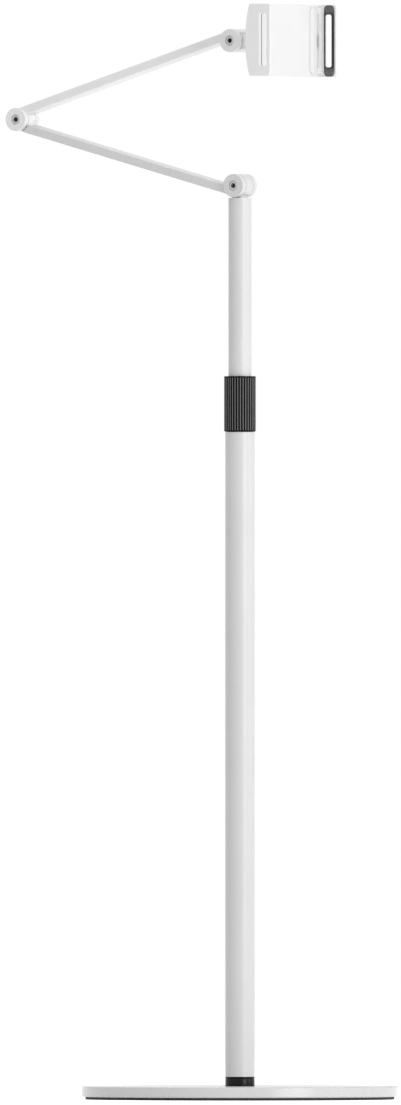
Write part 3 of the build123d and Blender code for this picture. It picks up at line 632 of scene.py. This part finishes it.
nylon, nylon_shader, nylon_place = new_finish(
    "natural_nylon", Subsurface_Weight=0.05, Subsurface_Scale=0.002
)
milk = noise(nylon_place, scale=300, detail=3)
blend(milk, NYLON, NYLON_SHADE).feed(nylon_shader, "Base Color")
(NYLON_ROUGHNESS + MILK_ROUGHNESS * milk).feed(nylon_shader, "Roughness")
relief(noise(nylon_place, scale=2600), NYLON_DEPTH).feed(nylon_shader, "Normal")
print("nylon for washers and guides:", nylon.name)

# %% [markdown]
# ## Dress the CAD pieces
#
# A CAD node keeps its mesh and gets its finish through its material slot. Most nodes follow the slot named
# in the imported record, such as steel or nylon. The pieces that are seen from a step away have a finish of
# their own, so those are listed by name.

# %% Finishes on the CAD nodes
by_slot = {
    "steel_white": lower_tube_coat,
    "alloy_white": head_coat,
    "plastic_white": shell_plastic,
    "plastic_black": band_black,
    "nylon": nylon,
    "rubber_dark": mat_rubber,
    "silicone_black": jaw_silicone,
    "steel": steel,
    "brass": brass,
}
by_node = {
    "base_plate": base_coat,
    "upper_tube": upper_tube_coat,
    "lower_arm": lower_arm_coat,
    "upper_arm": upper_arm_coat,
    "tilt_neck": neck_coat,
    "front_plate": plate_plastic,
    "jaw_near": jaw_plastic,
    "jaw_far": jaw_plastic,
    "lock_collar": collar_black,
}
by_node.update({hinge + "_screw": finish for hinge, finish in screw_steel.items()})
for subpart in frame["record"]["subparts"]:
    name = subpart["node"]
    finish = by_node.get(name, by_slot[subpart["material_slot"]])
    frame["nodes"][name].material_slots[0].material = finish

# %% [markdown]
# ## Making a turned piece
#
# The foot mat, the foot band and the collar are round, so each starts as a few points of its section and is
# spun about the column's axis. The spin needs use_merge, or the last step leaves a seam. Points on the axis
# fall together at a pole and are merged, and the normals are turned outwards after that. Sharp edges are
# then bevelled, because the eye reads a bright line along an edge as a real thickness.

# %% Spin and soften
MERGE = 1e-7
SHARP = radians(28)


def turned(section, steps, closed):
    """Spins points of radius and height about the column's axis."""
    mesh = bmesh.new()
    points = [mesh.verts.new((radius, 0, height)) for radius, height in section]
    pairs = list(zip(points, points[1:]))
    if closed:
        pairs.append((points[-1], points[0]))
    lines = [mesh.edges.new(pair) for pair in pairs]
    bmesh.ops.spin(
        mesh, geom=points + lines, cent=ORIGIN, axis=(0, 0, 1), angle=2 * pi, steps=steps, use_merge=True
    )
    bmesh.ops.remove_doubles(mesh, verts=mesh.verts, dist=MERGE)
    bmesh.ops.recalc_face_normals(mesh, faces=mesh.faces)
    return mesh


def soften(mesh, edges, width, segments=3):
    """Rounds some edges."""
    bmesh.ops.bevel(
        mesh, geom=edges, offset=width, affect="EDGES", segments=segments, profile=0.5, material=-1,
        clamp_overlap=True,
    )


def sharp_edges(mesh):
    """Edges whose two faces meet at more than a slight angle."""
    return [e for e in mesh.edges if len(e.link_faces) == 2 and e.calc_face_angle() > SHARP]


print("edges sharper than", round(degrees(SHARP)), "degrees get rounded")

# %% Place a finished piece
CREASE = radians(40)


def add_piece(mesh, name, body, finish, node):
    """Turns a finished bmesh into a piece that rides a body and stands for a CAD node."""
    data = bpy.data.meshes.new(name)
    bmesh.ops.recalc_face_normals(mesh, faces=mesh.faces)
    mesh.to_mesh(data)
    mesh.free()
    data.shade_smooth()
    data.set_sharp_from_angle(angle=CREASE)
    data.materials.append(finish)
    piece = bpy.data.objects.new(name, data)
    bpy.context.scene.collection.objects.link(piece)
    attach(piece, body)
    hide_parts(node)
    print(name, "rides", body, "with", len(data.polygons), "faces")


print("shading breaks at edges over", round(degrees(CREASE)), "degrees")

# %% [markdown]
# ## The rubber mat under the base
#
# The mat keeps seven kilograms of stand from sliding and shows as a thin dark line below the white rim. Its
# edge is rounded, and grooves cut in its underside leave flat circular treads on the floor. A disc with a
# bump would look the same from above, but not when the stand is lifted. The section runs from the middle of
# the top, out to the rim, and back along the grooves.

# %% Foot mat
TREAD_PITCH = 0.009
TREAD_START = 0.7 * TREAD_PITCH
TREAD_GROOVE = 0.0022
TREAD_DEPTH = 0.0009
TREADS = 13
MAT_STEPS = 160
MAT_ROUNDING = 0.0007
mat_low, mat_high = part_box("foot_pad")
mat_section = [(0, mat_high.z), (mat_high.x, mat_high.z), (mat_high.x, mat_low.z)]
for tread in range(TREADS):
    outer = mat_high.x - TREAD_START - tread * TREAD_PITCH
    inner = outer - TREAD_GROOVE
    mat_section += [(outer, mat_low.z), (outer, mat_low.z + TREAD_DEPTH)]
    mat_section += [(inner, mat_low.z + TREAD_DEPTH), (inner, mat_low.z)]
mat_section.append((0, mat_low.z))
mat_mesh = turned(mat_section, MAT_STEPS, closed=False)
at_rim = mat_high.x - MERGE
rim = [e for e in sharp_edges(mat_mesh) if all(v.co.xy.length > at_rim for v in e.verts)]
soften(mat_mesh, rim, MAT_ROUNDING)
add_piece(mat_mesh, "foot_mat", "base", mat_rubber, "foot_pad")

# %% [markdown]
# ## The black band at the column's foot
#
# A short glossy ring hides the joint where the column stands on the base. It is as wide as the tube above,
# so only its rounded edges and a shallow groove near the top show that it is a separate piece. The groove is
# part of the spun section, which needs no cut afterwards.

# %% Foot band
BAND_BORE = 0.0043
GROOVE_TOP = 0.0013
GROOVE_HEIGHT = 0.0013
GROOVE_DEPTH = 0.0003
BAND_STEPS = 96
BAND_ROUNDING = 0.0002
band_low, band_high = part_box("foot_ring")
groove_high = band_high.z - GROOVE_TOP
band_section = [
    (BAND_BORE, band_low.z),
    (band_high.x, band_low.z),
    (band_high.x, groove_high - GROOVE_HEIGHT),
    (band_high.x - GROOVE_DEPTH, groove_high - GROOVE_HEIGHT / 2),
    (band_high.x, groove_high),
    (band_high.x, band_high.z),
    (BAND_BORE, band_high.z),
]
band_mesh = turned(band_section, BAND_STEPS, closed=True)
soften(band_mesh, sharp_edges(band_mesh), BAND_ROUNDING)
add_piece(band_mesh, "foot_band", "base", band_black, "foot_ring")

# %% [markdown]
# ## The ribbed twist collar
#
# The collar is the one piece a hand turns, so it has 36 upright ribs. The plain sleeve is spun first with
# three steps to a rib. Then two of every three strips on the outside are inset and pushed inwards, which
# leaves sloped groove walls, and the rib edges are rounded. Cutting boxes out of a cylinder would also
# work, but its edges would stay knife sharp. The foot tapers a little, as such mouldings do.

# %% Plain sleeve
RIBS = 36
STRIPS = 3
FOOT_TAPER = 0.0007
SLEEVE_GAP = 0.0003
sleeve_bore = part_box("lock_sleeve")[1].x + SLEEVE_GAP
tube_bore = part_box("upper_tube")[1].x + SLEEVE_GAP
lip_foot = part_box("collet")[1].z + SLEEVE_GAP
collar_section = [
    (sleeve_bore, collar_low.z),
    (collar_radius - FOOT_TAPER, collar_low.z),
    (collar_radius, ribs_low),
    (collar_radius, ribs_high),
    (collar_radius, collar_high.z),
    (tube_bore, collar_high.z),
    (tube_bore, lip_foot),
    (sleeve_bore, lip_foot),
]
collar_mesh = turned(collar_section, RIBS * STRIPS, closed=True)
print("sleeve of", len(collar_mesh.faces), "faces")

# %% Ribs
GROOVE_STRIPS = 2
RIB_DEPTH = 0.0012
RIB_SLOPE = 0.00026
RIB_ROUNDING = 0.00016
RIB_SEGMENTS = 2
OUTER_SHARE = 0.99
strip_angle = 2 * pi / (RIBS * STRIPS)
groove_faces = []
for face in collar_mesh.faces:
    middle = face.calc_center_median()
    turn = Vector((1, 0)).angle_signed(middle.xy) % (2 * pi)
    outside = middle.xy.length > collar_radius * OUTER_SHARE
    ribbed = ribs_low < middle.z < ribs_high
    if outside and ribbed and int(turn / strip_angle) % STRIPS < GROOVE_STRIPS:
        groove_faces.append(face)
bmesh.ops.inset_region(
    collar_mesh, faces=groove_faces, thickness=RIB_SLOPE, depth=-RIB_DEPTH, use_boundary=True,
    use_even_offset=True,
)
soften(collar_mesh, sharp_edges(collar_mesh), RIB_ROUNDING, RIB_SEGMENTS)
add_piece(collar_mesh, "grip_collar", "lock_collar", collar_black, "lock_collar")

# %% [markdown]
# ## The silicone rings on the jaws
#
# Each jaw has a soft black ring that grips the edge of the tablet, with a long slot for cables and keys. A
# rounded oblong is a rectangle whose corners are bevelled as vertices. Two of them, one for the ring and
# one for the slot, are bridged into a flat ring, which is extruded to its thickness and rounded all over.
# The slot is nearer the back edge, so the ring is thin there and broad in front.

# %% Rounded oblong
CORNER_STEPS = 8
UPRIGHT = Matrix.Rotation(radians(90), 4, "X")
HALF = 0.5


def oblong(mesh, x, z, width, height, corner):
    """Adds the outline of a rounded oblong in the XZ plane and returns its edges."""
    placed = Matrix.Translation((x, 0, z)) @ UPRIGHT @ Matrix.Diagonal((width, height, 1, 1))
    made = bmesh.ops.create_grid(mesh, x_segments=1, y_segments=1, size=HALF, matrix=placed)
    bmesh.ops.bevel(
        mesh, geom=made["verts"], offset=corner, affect="VERTICES", segments=CORNER_STEPS, profile=0.5,
        material=-1,
    )
    face = max(mesh.faces, key=lambda f: len(f.verts))
    edges = list(face.edges)
    bmesh.ops.delete(mesh, geom=[face], context="FACES_ONLY")
    return edges


print("each corner of an oblong has", CORNER_STEPS, "steps")

# %% Jaw rings
SLOT_WIDTH = 0.0069
SLOT_HEIGHT = 0.050
SLOT_CORNER = 0.002
SLOT_FROM_FRONT = 0.00745
RING_CORNER = 0.004
RING_ROUNDING = 0.0004
RING_SEGMENTS = 4


def jaw_ring(side):
    """A silicone ring in the place of one CAD pad."""
    low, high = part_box("pad_" + side)
    middle = (low + high) / 2
    size = high - low
    slot_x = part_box("jaw_" + side)[1].x - SLOT_FROM_FRONT
    mesh = bmesh.new()
    edges = oblong(mesh, middle.x, middle.z, size.x, size.z, RING_CORNER)
    edges += oblong(mesh, slot_x, middle.z, SLOT_WIDTH, SLOT_HEIGHT, SLOT_CORNER)
    flat = bmesh.ops.bridge_loops(mesh, edges=edges)["faces"]
    raised = bmesh.ops.extrude_face_region(mesh, geom=flat)["geom"]
    raised_points = [v for v in raised if isinstance(v, bmesh.types.BMVert)]
    bmesh.ops.translate(mesh, verts=raised_points, vec=(0, size.y, 0))
    bmesh.ops.translate(mesh, verts=mesh.verts, vec=(0, low.y, 0))
    bmesh.ops.recalc_face_normals(mesh, faces=mesh.faces)
    rims = [e for e in sharp_edges(mesh) if abs(e.verts[0].co.y - e.verts[1].co.y) < MERGE]
    soften(mesh, rims, RING_ROUNDING, RING_SEGMENTS)
    add_piece(mesh, "jaw_ring_" + side, "jaw_" + side, jaw_silicone, "pad_" + side)


for side in ("near", "far"):
    jaw_ring(side)

# %% [markdown]
# ## A pale floor
#
# Product photographs stand on a white sweep. The floor here is white paper that receives the stand's
# shadow. For rays from the camera and from mirrors it also gives off a little light of its own, which lifts
# lit paper to plain white and leaves the shadow under the base. More lamps would whiten it too, but they
# would wash out the white stand, and this light doesn't reach it.

# %% Floor paper
FLOOR_WHITE = 0.88
FLOOR_DRIFT = 0.985
FLOOR_LIFT = 0.60
PAPER_ROUGHNESS = 0.9


def seen_directly(tree):
    """1 for rays from the camera, a mirror or glass, and 0 for the rays that carry light to the stand."""
    path = Value(tree)
    kinds = ("Is Camera Ray", "Is Glossy Ray", "Is Transmission Ray")
    camera_ray, glossy, through = (path.node("ShaderNodeLightPath", output=kind) for kind in kinds)
    return path.math("MINIMUM", camera_ray + glossy + through, FULL)


floor_paper, paper_shader, paper_place = new_finish(
    "floor_paper", Roughness=PAPER_ROUGHNESS, Specular_IOR_Level=CLEAR, Emission_Strength=FLOOR_LIFT
)
paper_tone = noise(paper_place, scale=3, detail=2)
blend(paper_tone, grey(FLOOR_WHITE), grey(FLOOR_WHITE * FLOOR_DRIFT)).feed(paper_shader, "Base Color")
lift = seen_directly(floor_paper.node_tree)
blend(lift, grey(CLEAR), grey(FULL)).feed(paper_shader, "Emission Color")
print("paper of", FLOOR_WHITE, "lifted by", FLOOR_LIFT)

# %% Floor
FLOOR_REACH = 4.0
floor_mesh = bmesh.new()
bmesh.ops.create_grid(floor_mesh, x_segments=1, y_segments=1, size=FLOOR_REACH)
floor_data = bpy.data.meshes.new("floor")
floor_mesh.to_mesh(floor_data)
floor_mesh.free()
floor_data.materials.append(floor_paper)
floor = bpy.data.objects.new("floor", floor_data)
bpy.context.scene.collection.objects.link(floor)
print("floor", 2 * FLOOR_REACH, "m square")

# %% [markdown]
# ## Soft studio light
#
# The stand is white on white, so its shape shows only because one side is darker. The world gives an even
# grey light from everywhere and looks plain white to the camera. One large soft lamp stands to the right of
# the camera, and one nearer the front draws the long highlight along the tubes. A weak lamp from above
# brightens what faces up, and another behind keeps the back from going flat.

# %% World
WORLD_LIGHT = 0.63
world = bpy.data.worlds.new("studio")
bpy.context.scene.world = world
world.use_nodes = True
world_mask = seen_directly(world.node_tree)
sky = world.node_tree.nodes["Background"]
blend(world_mask, grey(WORLD_LIGHT), grey(FULL)).feed(sky, "Color")
print("world light", WORLD_LIGHT)

# %% Lamps
CAMERA_TURN = radians(30)
to_camera = Vector((sin(CAMERA_TURN), -cos(CAMERA_TURN), 0))
to_right = Vector((cos(CAMERA_TURN), sin(CAMERA_TURN), 0))
up = Vector((0, 0, 1))
stand_middle = up * (cad_low.z + cad_high.z) / 2


def aimed(position, backwards):
    """A place and a turn whose own -Z looks along the way opposite to backwards."""
    turn = backwards.to_track_quat("Z", "Y").to_matrix().to_4x4()
    return Matrix.Translation(position) @ turn


def soft_lamp(name, turn, rise, distance, width, height, power):
    """An area lamp aimed at the middle of the stand; turn is to the right of the camera, in degrees."""
    level = to_camera * cos(radians(turn)) + to_right * sin(radians(turn))
    away = level * cos(radians(rise)) + up * sin(radians(rise))
    data = bpy.data.lights.new(name, "AREA")
    data.shape = "RECTANGLE"
    data.size = width
    data.size_y = height
    data.energy = power
    lamp = bpy.data.objects.new(name, data)
    lamp.matrix_world = aimed(stand_middle + away * distance, away)
    lamp.visible_camera = False
    bpy.context.scene.collection.objects.link(lamp)
    print(name, "at", tuple(round(c, 2) for c in lamp.matrix_world.translation), power, "W")


soft_lamp("key_lamp", turn=78, rise=14, distance=3.0, width=1.6, height=2.2, power=16)
soft_lamp("strip_lamp", turn=39, rise=4, distance=2.8, width=1.2, height=2.0, power=29)
soft_lamp("top_lamp", turn=20, rise=78, distance=2.6, width=2.0, height=2.0, power=8.5)
soft_lamp("back_lamp", turn=205, rise=25, distance=3.0, width=1.6, height=1.6, power=6)

# %% [markdown]
# ## The camera
#
# The photograph has almost no perspective: the base is seen edge on and the column's sides are parallel. A
# very long lens far away gives that, and so would an orthographic camera, but a lens keeps working when the
# view moves. The camera stands 30 degrees round from the arm's plane, low enough that the top of the base
# hardly shows, and looks at the middle of the picture.

# %% Camera
LENS = 615
SENSOR_HEIGHT = 13.2
FRAME_HEIGHT = 1.0475
FRAME_MIDDLE_RIGHT = -0.0374
FRAME_MIDDLE_UP = 0.5184
CAMERA_HEIGHT = 0.42
stand_off = LENS * FRAME_HEIGHT / SENSOR_HEIGHT
camera_data = bpy.data.cameras.new("portrait_camera")
camera_data.lens = LENS
camera_data.sensor_fit = "VERTICAL"
camera_data.sensor_height = SENSOR_HEIGHT
camera_data.clip_end = 2 * stand_off
camera = bpy.data.objects.new("portrait_camera", camera_data)
sideways = to_right * FRAME_MIDDLE_RIGHT
target = sideways + up * FRAME_MIDDLE_UP
position = sideways + to_camera * stand_off + up * CAMERA_HEIGHT
camera.matrix_world = aimed(position, position - target)
bpy.context.scene.collection.objects.link(camera)
bpy.context.scene.camera = camera
bpy.context.scene.view_settings.view_transform = "Standard"
print("camera", round(stand_off, 2), "m away")
